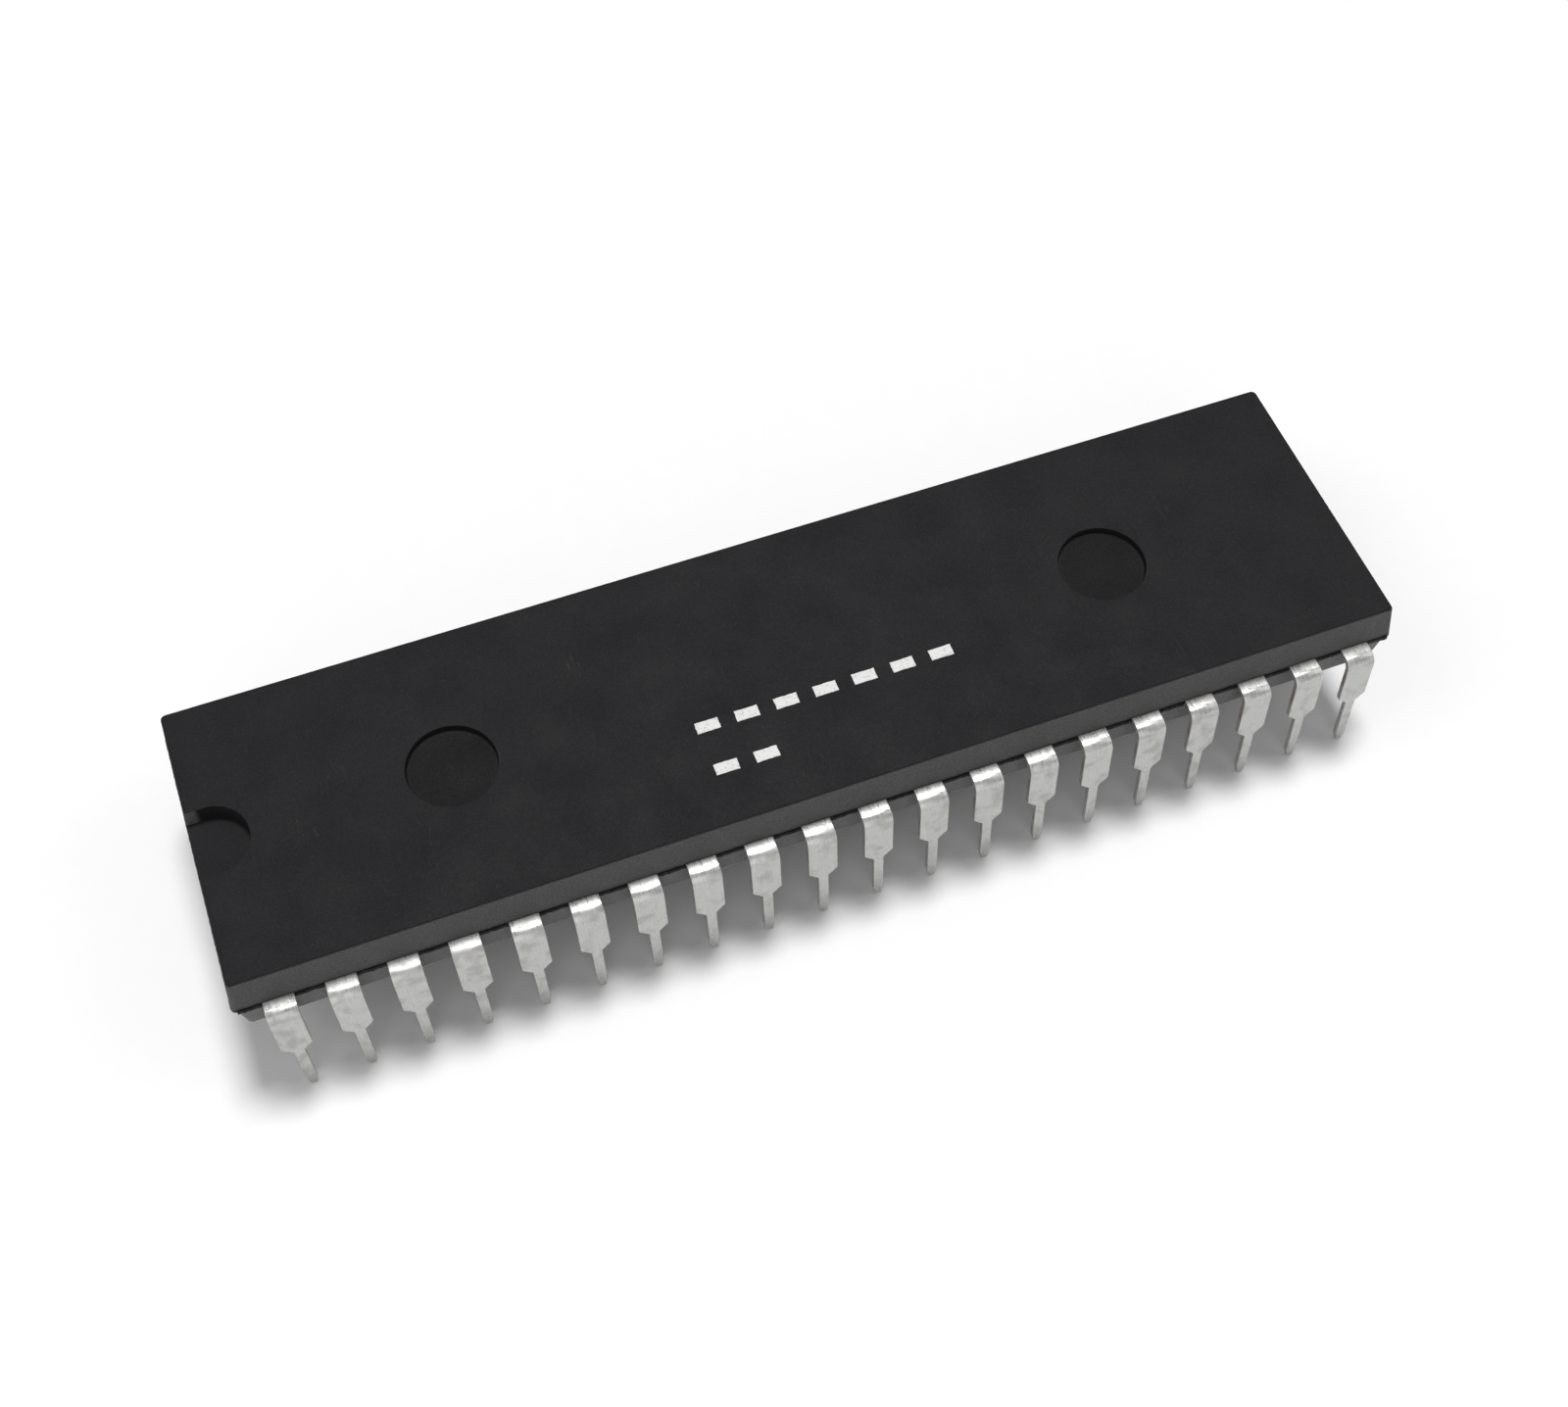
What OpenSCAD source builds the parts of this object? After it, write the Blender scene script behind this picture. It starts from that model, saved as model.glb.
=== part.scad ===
// Plastic dual in-line package with forty formed leads.
// The length runs along X with the notch end at -X, the width along Y, and +Z is up.
// The origin is the middle of the plane that the lead tips stand on.

/* [Body] */
// Length of the moulding at its parting line
body_l = 52; // [51:0.1:54]
// Width of the moulding at its parting line, 13.7 for rows 15.24 apart
body_w = 13.7; // [13:0.05:15]
// Height of the moulding above its parting plane
cap_h = 1.9; // [1.5:0.05:2.3]
// Height of the moulding below its parting plane
base_h = 1.9; // [1.5:0.05:2.3]
// Draft of the moulded walls, in degrees
draft = 7; // [4:0.5:12]
// How far the lower half of the moulding is set in at the parting line
mould_step = 0.08; // [0.02:0.01:0.15]
// Chamfer along the top and bottom edges
edge_c = 0.12; // [0.05:0.01:0.25]
// Chamfer on the four upright corners
corner_c = 0.15; // [0.05:0.01:0.3]

/* [Orientation notch] */
// Width of the notch in the pin-one end
notch_w = 3; // [2:0.1:4]
// How far the notch reaches in from the top edge of the end
notch_l = 2.3; // [2:0.1:3]
// Depth of the notch below the top face
notch_d = 0.8; // [0.4:0.05:1.2]

/* [Ejector marks] */
// Diameter of the round marks that the mould's ejector pins leave
mark_d = 3.9; // [3:0.1:4.5]
// Depth of the ejector marks
mark_depth = 0.3; // [0.1:0.05:0.5]
// Distance of each ejector mark from the middle of the body
mark_x = 14.85; // [12:0.05:18]

/* [Leads] */
// Spacing of neighbouring leads along a row
pitch = 2.54; // [2.5:0.01:2.56]
// Distance from the wall of the body to the middle of a leg, just below its bend
wall_gap = 0.77; // [0.7:0.01:1]
// Thickness of the lead frame's sheet
lead_t = 0.25; // [0.2:0.01:0.3]
// Width of a lead's wide upper part
shoulder_w = 1.3; // [1.1:0.02:1.5]
// Width of a lead's narrow lower part
leg_w = 0.46; // [0.38:0.02:0.56]
// Width of the blunt point at the end of a lead
point_w = 0.24; // [0.15:0.01:0.3]
// Length over which a lead narrows to its point
point_l = 0.45; // [0.2:0.05:0.8]
// Gap between the underside of the body and the seating plane
standoff = 0.5; // [0.38:0.02:0.8]
// Height of the seating plane above the lead tips
leg_h = 3.3; // [2.9:0.05:3.8]
// Inner radius of the bend in a lead
bend_r = 0.25; // [0.15:0.01:0.3]
// How far the legs lean outwards before the part is fitted, in degrees
splay = 5; // [0:0.5:8]

/* [Lead frame inside] */
// Width of a finger inside the body
finger_w = 0.32; // [0.25:0.01:0.36]
// How far the wide upper part reaches into the body before it narrows
root_in = 0.2; // [0.1:0.01:0.25]
// How far the outer fingers run straight in before they fan out
straight_in = 1.45; // [1.2:0.05:2]
// Cut corners of the fingers where they turn
elbow = 0.3; // [0.2:0.01:0.4]
// Shortest straight run beside such a corner
elbow_run = 0.15; // [0.1:0.01:0.2]
// Gap between the finger tips and the paddle
tip_gap = 0.35; // [0.25:0.01:0.38]
// Length of the paddle that carries the die
paddle_l = 7; // [6.4:0.1:8]
// Room for fingers between each long side of the paddle and the wall of the body
finger_room = 3.75; // [3.6:0.05:4]
// How far the outermost side finger stands in from the corner of the paddle
corner_in = 0.5; // [0.3:0.05:0.8]
// How far the paddle is set down below the fingers
paddle_drop = 0.28; // [0.1:0.02:0.4]
// Width of the tie bars that hold the paddle
tie_w = 0.4; // [0.3:0.02:0.5]
// Length over which a tie bar ramps down to the paddle
ramp_l = 0.6; // [0.4:0.05:1]

/* [Die] */
// Bare margin of the paddle round the silicon die
die_margin = 0.8; // [0.6:0.05:1.1]
// Thickness of the silicon die
die_t = 0.38; // [0.25:0.01:0.5]
// Thickness of the adhesive under the die
attach_t = 0.04; // [0.02:0.01:0.08]
// How far the adhesive shows round the die
attach_rim = 0.12; // [0.05:0.01:0.2]

/* [Bond wires] */
// Diameter of a bond wire
wire_d = 0.05; // [0.03:0.005:0.06]
// Height of a wire's loop above the die
loop_h = 0.22; // [0.15:0.01:0.4]
// Distance of the bond pads from the edge of the die
bond_in = 0.2; // [0.15:0.01:0.3]
// Distance of the second bond from the tip of its finger
stitch_in = 0.25; // [0.15:0.01:0.4]

/* [Hidden] */
// Leads in one row, and how many of each quarter reach the ends of the paddle
row_leads = 20;
end_fingers = 5;
half_row = row_leads / 2;
lead_count = 2 * row_leads;

// Heights above the lead tips
seat_z = leg_h;
under_z = seat_z + standoff;
part_z = under_z + base_h;
top_z = part_z + cap_h;
finger_top_z = part_z + lead_t / 2;

// Tilted walls of the moulding
wall_slope = tan(draft);
top_end_x = body_l / 2 - cap_h * wall_slope;
// Every cut starts this far outside the face that it opens
over = 0.5;
round_facets = 64;

// The bend of a lead turns from the shoulder down to the leaning leg
row_spacing = body_w + 2 * wall_gap;
bend_turn = 90 - splay;
bend_mid_r = bend_r + lead_t / 2;
bend_steps = 8;
bend_y = row_spacing / 2 - bend_mid_r * sin(bend_turn);
bend_axis_z = part_z - bend_mid_r;
leg_top_z = bend_axis_z + bend_mid_r * cos(bend_turn);
leg_run = (leg_top_z - lead_t / 2 * sin(splay)) / cos(splay);

// Where the fingers leave the wall and fan out
root_y = body_w / 2 - root_in;
fan_y = body_w / 2 - straight_in;
paddle_w = body_w - 2 * finger_room;
end_tip_x = paddle_l / 2 + tip_gap;
side_tip_y = paddle_w / 2 + tip_gap;

// Fingers that run along the body: beside the tie bar, and in front of the paddle's long side
side_fingers = half_row - end_fingers;
end_lane = (paddle_w / 2 - tie_w / 2) / end_fingers;
first_lane = side_tip_y + elbow_run + elbow;
last_lane = root_y - elbow_run - elbow;
side_lane = (last_lane - first_lane) / (side_fingers - 1);
// The innermost side finger ends this share of a tip spacing from the middle of the paddle
inner_tip = 0.6;
tip_pitch = (paddle_l / 2 - corner_in) / (side_fingers - 1 + inner_tip);

// The paddle and what it carries
paddle_top_z = finger_top_z - paddle_drop;
die_z = paddle_top_z + attach_t;
die_top_z = die_z + die_t;
die_l = paddle_l - 2 * die_margin;
die_w = paddle_w - 2 * die_margin;

// Bond wires
wire_sides = 6;

// Names of the leads, counted anticlockwise from the notch end as on every such package
function lead_name(n) = str("pin_", n < 10 ? "0" : "", n);

// A quarter of the frame holds half a row. Finger 0 is the one at the end of the body.
function root_x(q) = (half_row - 0.5 - q) * pitch;
function to_end(q) = q < end_fingers;
function lane_y(q) = to_end(q) ? (tie_w - finger_w) / 2 + (q + 1) * end_lane
                               : first_lane + (q - end_fingers) * side_lane;
function tip_x(q) = to_end(q) ? end_tip_x : (half_row - 1 - q + inner_tip) * tip_pitch;
function tip_y(q) = to_end(q) ? lane_y(q) : side_tip_y;

// First turn of a finger: as far out as the fan allows, and never more than half the sideways run
function first_turn(q) = min(max(fan_y - lane_y(q), elbow), (root_x(q) - tip_x(q)) / 2);
function last_turn(q) = min(elbow, (root_x(q) - tip_x(q)) / 2);

// Middle line of a finger in the quarter at +X and +Y, from the bend in to the tip
function finger_line(q) = concat(
    [[root_x(q), bend_y], [root_x(q), root_y],
     [root_x(q), lane_y(q) + first_turn(q)], [root_x(q) - first_turn(q), lane_y(q)]],
    to_end(q) ? [] : [[tip_x(q) + last_turn(q), lane_y(q)], [tip_x(q), lane_y(q) - last_turn(q)]],
    [[tip_x(q), tip_y(q)]]);

// Half widths at the points of that line
function finger_half(q) = [for (k = [0:len(finger_line(q)) - 1]) (k < 2 ? shoulder_w : finger_w) / 2];

function unit(v) = v / norm(v);
function left_of(v) = [-v[1], v[0]];

// Outline of a strip of sheet from its middle line and half widths, with mitred turns
function mitre(line, k) =
    let (last = len(line) - 1,
         before = unit(line[max(k, 1)] - line[max(k, 1) - 1]),
         after = unit(line[min(k, last - 1) + 1] - line[min(k, last - 1)]),
         middle = left_of(unit(before + after)))
    middle / (middle * left_of(before));
function strip_side(line, half, side) =
    [for (k = [0:len(line) - 1]) line[k] + side * half[k] * mitre(line, k)];
function reversed(list) = [for (k = [len(list) - 1:-1:0]) list[k]];
function strip_outline(line, half) =
    concat(strip_side(line, half, 1), reversed(strip_side(line, half, -1)));

function arc(y, z, r, from, to, steps) =
    [for (k = [0:steps]) let (a = from + (to - from) * k / steps) [y + r * sin(a), z + r * cos(a)]];

// Which quarter of the frame a lead is in, and its finger there
function row_place(n) = n <= row_leads ? n - 1 : lead_count - n;
function on_back(n) = n > row_leads;
function on_right(n) = row_place(n) >= half_row;
function finger_of(n) = on_right(n) ? row_leads - 1 - row_place(n) : row_place(n);

module in_quarter(n) {
    mirror([on_right(n) ? 0 : 1, 0, 0])
        mirror([0, on_back(n) ? 0 : 1, 0])
            children();
}

// Flat part of a lead, from the bend through the wall to the tip near the die
module flat_finger(q) {
    translate([0, 0, part_z - lead_t / 2])
        linear_extrude(height = lead_t)
            polygon(strip_outline(finger_line(q), finger_half(q)));
}

// Shoulder, bend and leg as one bent strip seen from the end of the body, in Y and Z
function bent_strip() =
    let (foot = [row_spacing / 2 + leg_run * sin(splay), leg_top_z - leg_run * cos(splay)],
         out = [cos(splay), sin(splay)] * lead_t / 2)
    concat([[root_y, part_z + lead_t / 2]],
           arc(bend_y, bend_axis_z, bend_r + lead_t, 0, bend_turn, bend_steps),
           [foot + out, foot - out],
           reversed(arc(bend_y, bend_axis_z, bend_r, 0, bend_turn, bend_steps)),
           [[root_y, part_z - lead_t / 2]]);

// Front of a lead in X and Z: the wide part, the taper below the seating plane and the point
function leg_half_front() =
    [[shoulder_w / 2, top_z], [shoulder_w / 2, seat_z],
     [leg_w / 2, seat_z - (shoulder_w - leg_w) / 2],
     [leg_w / 2, point_l], [point_w / 2, 0], [point_w / 2, -over]];

module formed_leg(q) {
    right = leg_half_front();
    left = [for (p = reversed(right)) [-p[0], p[1]]];
    translate([root_x(q), 0, 0])
        intersection() {
            translate([-shoulder_w / 2, 0, 0])
                rotate([90, 0, 90])
                    linear_extrude(height = shoulder_w)
                        polygon(bent_strip());
            translate([0, row_spacing, 0])
                rotate([90, 0, 0])
                    linear_extrude(height = row_spacing)
                        polygon(concat(right, left));
        }
}

module lead(n) {
    color("silver")
        in_quarter(n) {
            flat_finger(finger_of(n));
            formed_leg(finger_of(n));
        }
}

// Section of the moulding: widest at the parting plane, drafted both ways, with broken edges
function wall_section(half, slope) =
    let (cap_run = (cap_h - edge_c) * slope,
         base_run = (base_h - edge_c) * slope + mould_step,
         right = [[half - base_run - edge_c, -base_h], [half - base_run, edge_c - base_h],
                  [half - mould_step, 0], [half, 0],
                  [half - cap_run, cap_h - edge_c], [half - cap_run - edge_c, cap_h]])
    concat(right, [for (p = reversed(right)) [-p[0], p[1]]]);

// A long prism of that section, lying across the given heading
module wall_pair(half, slope, heading) {
    translate([0, 0, part_z])
        rotate([90, 0, heading])
            translate([0, 0, -body_l])
                linear_extrude(height = 2 * body_l)
                    polygon(wall_section(half, slope));
}

module moulding() {
    corner_half = (body_l + body_w) / 2 / sqrt(2) - corner_c;
    intersection() {
        wall_pair(body_l / 2, wall_slope, 0);
        wall_pair(body_w / 2, wall_slope, 90);
        wall_pair(corner_half, wall_slope * sqrt(2), 45);
        wall_pair(corner_half, wall_slope * sqrt(2), -45);
    }
}

// U-shaped pocket that is open at the pin-one end
module orientation_notch() {
    r = notch_w / 2;
    translate([notch_l - top_end_x - r, 0, top_z - notch_d]) {
        cylinder(r = r, h = notch_d + over, $fn = round_facets);
        translate([-notch_l - over, -r, 0])
            cube([notch_l + over, notch_w, notch_d + over]);
    }
}

// A pair of round marks on the top and another on the underside
module ejector_marks() {
    for (x = [-mark_x, mark_x], z = [top_z - mark_depth, under_z - over])
        translate([x, 0, z])
            cylinder(d = mark_d, h = mark_depth + over, $fn = round_facets);
}

module body() {
    color("dimgray")
        difference() {
            moulding();
            orientation_notch();
            ejector_marks();
            for (n = [1:lead_count])
                in_quarter(n)
                    flat_finger(finger_of(n));
            paddle_sheet();
            adhesive_block();
            die_block();
            wires();
        }
}

// Side view of the paddle with its two cranked tie bars, in X and Z
function tie_half() =
    [[0, paddle_top_z], [paddle_l / 2, paddle_top_z],
     [paddle_l / 2 + ramp_l, finger_top_z], [body_l / 2 - mould_step, finger_top_z]];

module paddle_sheet() {
    left_half = [for (p = reversed(tie_half())) if (p[0] > 0) [-p[0], p[1]]];
    line = concat(left_half, tie_half());
    under = [for (p = reversed(line)) [p[0], p[1] - lead_t]];
    translate([-paddle_l / 2, -paddle_w / 2, paddle_top_z - lead_t])
        cube([paddle_l, paddle_w, lead_t]);
    translate([0, tie_w / 2, 0])
        rotate([90, 0, 0])
            linear_extrude(height = tie_w)
                polygon(concat(line, under));
}

module die_paddle() {
    color("darkgray")
        paddle_sheet();
}

module adhesive_block() {
    rim = 2 * attach_rim;
    translate([0, 0, paddle_top_z + attach_t / 2])
        cube([die_l + rim, die_w + rim, attach_t], center = true);
}

module die_attach() {
    color("gainsboro")
        adhesive_block();
}

module die_block() {
    translate([0, 0, die_z + die_t / 2])
        cube([die_l, die_w, die_t], center = true);
}

module die() {
    color("slategray")
        die_block();
}

// First bond of each wire on the die and second bond on the finger, in the +X +Y quarter
function first_bond(q) =
    let (reach = [die_l / 2 - bond_in, die_w / 2 - bond_in])
    to_end(q) ? [reach[0], reach[1] * lane_y(q) / side_tip_y]
              : [reach[0] * tip_x(q) / end_tip_x, reach[1]];
function second_bond(q) = [tip_x(q), tip_y(q)] + stitch_in * (to_end(q) ? [1, 0] : [0, 1]);

// Stations of a wire: share of its run, height, and slope of its middle line
function wire_stations() =
    [[0, die_top_z, 90],
     [0.01, die_top_z + loop_h * 0.6, 80],
     [0.09, die_top_z + loop_h, 25],
     [0.45, die_top_z + loop_h * 0.75, -15],
     [0.85, finger_top_z + loop_h * 0.8, -45],
     [0.99, finger_top_z + loop_h * 0.3, -80],
     [1, finger_top_z, -90]];

// One ring of the wire, square to its middle line
function wire_ring(from, to, station) =
    let (run = unit(to - from),
         place = from + (to - from) * station[0],
         across = left_of(run),
         rise = [-sin(station[2]) * run[0], -sin(station[2]) * run[1], cos(station[2])])
    [for (k = [0:wire_sides - 1])
        let (a = 360 * k / wire_sides)
        [place[0], place[1], station[1]]
            + wire_d / 2 * (cos(a) * [across[0], across[1], 0] + sin(a) * rise)];

module wire(q) {
    stations = wire_stations();
    rings = [for (s = stations) wire_ring(first_bond(q), second_bond(q), s)];
    last = (len(rings) - 1) * wire_sides;
    sides = [for (r = [0:len(rings) - 2], k = [0:wire_sides - 1])
                let (a = r * wire_sides, b = a + wire_sides, m = (k + 1) % wire_sides)
                each [[a + k, a + m, b + m], [a + k, b + m, b + k]]];
    ends = [[for (k = [wire_sides - 1:-1:0]) k], [for (k = [0:wire_sides - 1]) last + k]];
    polyhedron(points = [for (r = rings) each r], faces = concat(sides, ends));
}

module wires() {
    for (n = [1:lead_count])
        in_quarter(n)
            wire(finger_of(n));
}

module bond_wires() {
    color("gold")
        wires();
}

body();
for (n = [1:lead_count])
    lead(n);
die_paddle();
die_attach();
die();
bond_wires();
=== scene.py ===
# %% [markdown]
# # A plastic dual in-line package
#
# This lesson dresses one electronic part: a long black moulding with forty tin-plated leads.
# The construction comes ready made as a fixed frame, in metres. Nothing in it is moved here.
# We give every piece its finish, model the body again because its edges need a closer look,
# and add the small traces that moulding and printing leave.

# %% Load the frame
import math
import random
import bmesh
import bpy
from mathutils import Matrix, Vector


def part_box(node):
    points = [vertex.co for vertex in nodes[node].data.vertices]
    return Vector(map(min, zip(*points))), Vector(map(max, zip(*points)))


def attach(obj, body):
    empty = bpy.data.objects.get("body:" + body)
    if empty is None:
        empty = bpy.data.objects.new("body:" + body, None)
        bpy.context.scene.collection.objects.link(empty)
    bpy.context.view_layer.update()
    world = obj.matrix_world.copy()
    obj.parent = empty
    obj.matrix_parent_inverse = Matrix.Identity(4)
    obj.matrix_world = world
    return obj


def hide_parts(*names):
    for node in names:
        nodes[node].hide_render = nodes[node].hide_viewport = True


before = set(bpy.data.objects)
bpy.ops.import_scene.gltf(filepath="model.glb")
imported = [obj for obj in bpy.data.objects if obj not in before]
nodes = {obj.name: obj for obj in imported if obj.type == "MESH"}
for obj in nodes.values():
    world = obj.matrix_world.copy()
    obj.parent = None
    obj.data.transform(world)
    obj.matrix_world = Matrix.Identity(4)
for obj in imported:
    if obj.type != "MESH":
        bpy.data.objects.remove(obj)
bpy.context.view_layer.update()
MM = 0.001
print("pieces in the frame:", len(nodes))

# %% [markdown]
# ## Read the sizes
#
# A maker would take these sizes off a drawing. They could be typed in again here, but then the
# scene would not follow when the construction changes, so they are read from the frame. A box
# does not show the height of the parting line. The leads leave the body at that height, and
# the highest point of a lead is the top of its sheet, so half a sheet below it is the line.

# %% Sizes that everything else hangs on
body_low, body_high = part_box("body")
lead_low, lead_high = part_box("pin_01")
half_length = body_high.x
half_width = body_high.y
top_z = body_high.z
under_z = body_low.z
sheet_t = 0.25 * MM
part_z = lead_high.z - sheet_t / 2
pitch = 2.54 * MM
row_leads = 20
print("body", [round(2 * v / MM, 2) for v in (half_length, half_width)], "mm")
print("parting line at", round((part_z - lead_low.z) / MM, 3), "mm above the lead tips")

# %% [markdown]
# ## Stand the camera at the photo's viewpoint
#
# The view is from above the front row, turned a little towards the notch end. A camera could
# be dragged about until the picture fits. It is easier to think of it as a point on a sphere
# round the object, with an azimuth, an elevation and a distance, and to change one at a time.
# It is kept level, so the slope of the long edge in the picture is perspective only. The lens
# comes from the picture: a focal length in pixels times the sensor, over the width.

# %% Camera
picture_width = 1600
focal_pixels = 2066
view_azimuth, view_elevation = -20.3, 58.3
view_distance = 87.9 * MM
aim = Vector((-0.45 * MM, -0.84 * MM, part_z))


def direction(azimuth, elevation):
    """A step of length one away from the part. Both angles are in degrees."""
    turn, rise = math.radians(azimuth), math.radians(elevation)
    return Vector((
        math.sin(turn) * math.cos(rise),
        -math.cos(turn) * math.cos(rise),
        math.sin(rise)))


towards_camera = direction(view_azimuth, view_elevation)
camera_data = bpy.data.cameras.new("camera")
camera_data.sensor_width = 36
camera_data.lens = focal_pixels * camera_data.sensor_width / picture_width
camera_data.clip_start = 0.005
camera_data.clip_end = 5
camera = bpy.data.objects.new("camera", camera_data)
camera.rotation_mode = "QUATERNION"
camera.location = aim + towards_camera * view_distance
camera.rotation_quaternion = (-towards_camera).to_track_quat("-Z", "Y")
bpy.context.scene.collection.objects.link(camera)
bpy.context.scene.camera = camera
print("lens", round(camera_data.lens, 1), "mm")

# %% [markdown]
# ## A small kit for materials
#
# A picture of the surface could be wrapped round each piece, but it would blur close up and
# stretch on the bends. So every finish below is built from noise, and needs the same few steps
# again and again: make a node, set its sockets, join it to the next. These helpers keep those
# steps short. Noise is sampled in object coordinates, which are metres here, so a scale of
# 5000 means grains of about a fifth of a millimetre.

# %% Make a finish and its nodes
def new_finish(name, colour, roughness, metallic=0.0):
    """A material with plain starting values, its node tree and its main shader."""
    material = bpy.data.materials.new(name)
    material.use_nodes = True
    material.diffuse_color = (*colour, 1)
    shader = material.node_tree.nodes["Principled BSDF"]
    shader.inputs["Base Color"].default_value = (*colour, 1)
    shader.inputs["Roughness"].default_value = roughness
    shader.inputs["Metallic"].default_value = metallic
    return material, material.node_tree, shader


def add_node(tree, kind, **values):
    """A node with its values: each one is a setting of the node or else one of its sockets."""
    made = tree.nodes.new(kind)
    for name, value in values.items():
        if hasattr(made, name):
            setattr(made, name, value)
        else:
            made.inputs[name.replace("_", " ")].default_value = value
    return made


def object_place(tree, stretch=(1, 1, 1)):
    """Where a point lies in its object. A small stretch draws the noise out along that axis."""
    coordinates = add_node(tree, "ShaderNodeTexCoord")
    mapping = add_node(tree, "ShaderNodeMapping")
    mapping.inputs["Scale"].default_value = stretch
    tree.links.new(coordinates.outputs["Object"], mapping.inputs["Vector"])
    return mapping.outputs["Vector"]


def noise(tree, place, scale, detail=2.0, roughness=0.5):
    """Cloudy values round one half. Detail and roughness say how much finer noise is added."""
    made = add_node(tree, "ShaderNodeTexNoise", Scale=scale, Detail=detail, Roughness=roughness)
    tree.links.new(place, made.inputs["Vector"])
    return made.outputs["Fac"]


print("finishes can be started")


# %% Shape, mix and bump a value
def remap(tree, value, low, high, to_low=0.0, to_high=1.0):
    """Carry a value from one range over to another, and hold it at the ends."""
    made = add_node(tree, "ShaderNodeMapRange")
    made.inputs["From Min"].default_value = low
    made.inputs["From Max"].default_value = high
    made.inputs["To Min"].default_value = to_low
    made.inputs["To Max"].default_value = to_high
    tree.links.new(value, made.inputs["Value"])
    return made.outputs["Result"]


def blend_colours(tree, factor, first, second):
    """The first colour where the factor is none, the second where it is one."""
    made = add_node(tree, "ShaderNodeMix", data_type="RGBA")
    # This node has sockets for every kind of data. Colours use inputs 6 and 7 and output 2.
    for socket, colour in ((made.inputs[6], first), (made.inputs[7], second)):
        if isinstance(colour, bpy.types.NodeSocket):
            tree.links.new(colour, socket)
        else:
            socket.default_value = (*colour, 1)
    tree.links.new(factor, made.inputs[0])
    return made.outputs[2]


def combine(tree, first, second, operation="MULTIPLY"):
    """One step of arithmetic on two numbers or sockets. Some steps use only the first."""
    made = add_node(tree, "ShaderNodeMath", operation=operation)
    for socket, value in zip(made.inputs, (first, second)):
        if isinstance(value, bpy.types.NodeSocket):
            tree.links.new(value, socket)
        else:
            socket.default_value = value
    return made.outputs["Value"]


def bump(tree, height, depth, below=None):
    """Tilt the surface as if it had this relief, on top of the bump below if there is one."""
    made = add_node(tree, "ShaderNodeBump", Distance=depth, Strength=1.0)
    tree.links.new(height, made.inputs["Height"])
    if below is not None:
        tree.links.new(below, made.inputs["Normal"])
    return made.outputs["Normal"]


def give(piece, material):
    """The piece wears this material and no other."""
    piece.data.materials.clear()
    piece.data.materials.append(material)


print("values can be shaped, mixed and bumped")

# %% [markdown]
# ## Floor and light
#
# The part is photographed on white. A pale floor bounces light up on to the drafted walls,
# which is why they look greyer than the top. A bright world alone could light the part, but
# it would leave no shadows. The dark crescents in the round marks lie along their back rims,
# so the main light stands high and a little behind the part. It is a sun with a wide disc,
# because a sun lights the floor evenly out to the horizon. Weak boxes at the front and sides
# fill the shadows. The world is pale at the horizon, where the bent metal mirrors it, and dim
# overhead, so that the black top stays black.

# %% Floor
reach = 1.5
floor_mesh = bpy.data.meshes.new("floor")
floor_mesh.from_pydata(
    [(-reach, -reach, 0), (reach, -reach, 0), (reach, reach, 0), (-reach, reach, 0)],
    [], [(0, 1, 2, 3)])
floor = bpy.data.objects.new("floor", floor_mesh)
bpy.context.scene.collection.objects.link(floor)
floor_finish, floor_tree, floor_shader = new_finish("pale floor", (0.92, 0.92, 0.92), 0.8)
paper = noise(floor_tree, object_place(floor_tree), 900, 4)
floor_tint = blend_colours(floor_tree, paper, (0.91, 0.91, 0.91), (0.93, 0.93, 0.93))
floor_tree.links.new(floor_tint, floor_shader.inputs["Base Color"])
give(floor, floor_finish)
print("floor", 2 * reach, "m square")

# %% Light
light_distance = 0.5


def light_from(kind, name, azimuth, elevation, power, size):
    """A light turned to face the part. A sun's size is in degrees, a box's in metres."""
    data = bpy.data.lights.new(name, kind)
    data.energy = power
    if kind == "SUN":
        data.angle = math.radians(size)
    else:
        data.size = size
    lamp = bpy.data.objects.new(name, data)
    lamp.location = light_distance * direction(azimuth, elevation)
    lamp.rotation_mode = "QUATERNION"
    lamp.rotation_quaternion = (-lamp.location).to_track_quat("-Z", "Y")
    bpy.context.scene.collection.objects.link(lamp)


light_from("SUN", "main light behind", azimuth=150, elevation=74, power=2.2, size=16)
light_from("AREA", "front fill", azimuth=-15, elevation=30, power=0.35, size=0.40)
light_from("AREA", "left fill", azimuth=-100, elevation=45, power=0.35, size=0.30)
light_from("AREA", "right fill", azimuth=75, elevation=40, power=0.25, size=0.30)
print("lights", light_distance, "m away")

# %% World
horizon_light, overhead_light = 0.80, 0.20
pale_below, dim_above = 0.05, 0.45
world = bpy.data.worlds.new("studio")
world.use_nodes = True
sky = world.node_tree
sky_direction = add_node(sky, "ShaderNodeTexCoord").outputs["Generated"]
height_in_sky = add_node(sky, "ShaderNodeSeparateXYZ")
sky.links.new(sky_direction, height_in_sky.inputs["Vector"])
sky_height = height_in_sky.outputs["Z"]
glow = remap(sky, sky_height, pale_below, dim_above, horizon_light, overhead_light)
sky.links.new(glow, sky.nodes["Background"].inputs["Strength"])
sky.nodes["Background"].inputs["Color"].default_value = (1, 1, 1, 1)
bpy.context.scene.world = world
bpy.context.scene.view_settings.view_transform = "Standard"
print("world from", horizon_light, "down to", overhead_light)

# %% [markdown]
# ## The moulded body
#
# The real body is epoxy pressed round the lead frame in a two-part steel mould. Its walls lean
# in above and below the parting line so that it drops out of the mould, the halves never meet
# quite flush, and each edge is slightly round. A box with a bevel would lose the lean. A stack
# of rounded rectangles, one above the other and joined by quads, gives the lean, the step at
# the parting line and the soft edges in one clean mesh.

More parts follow.
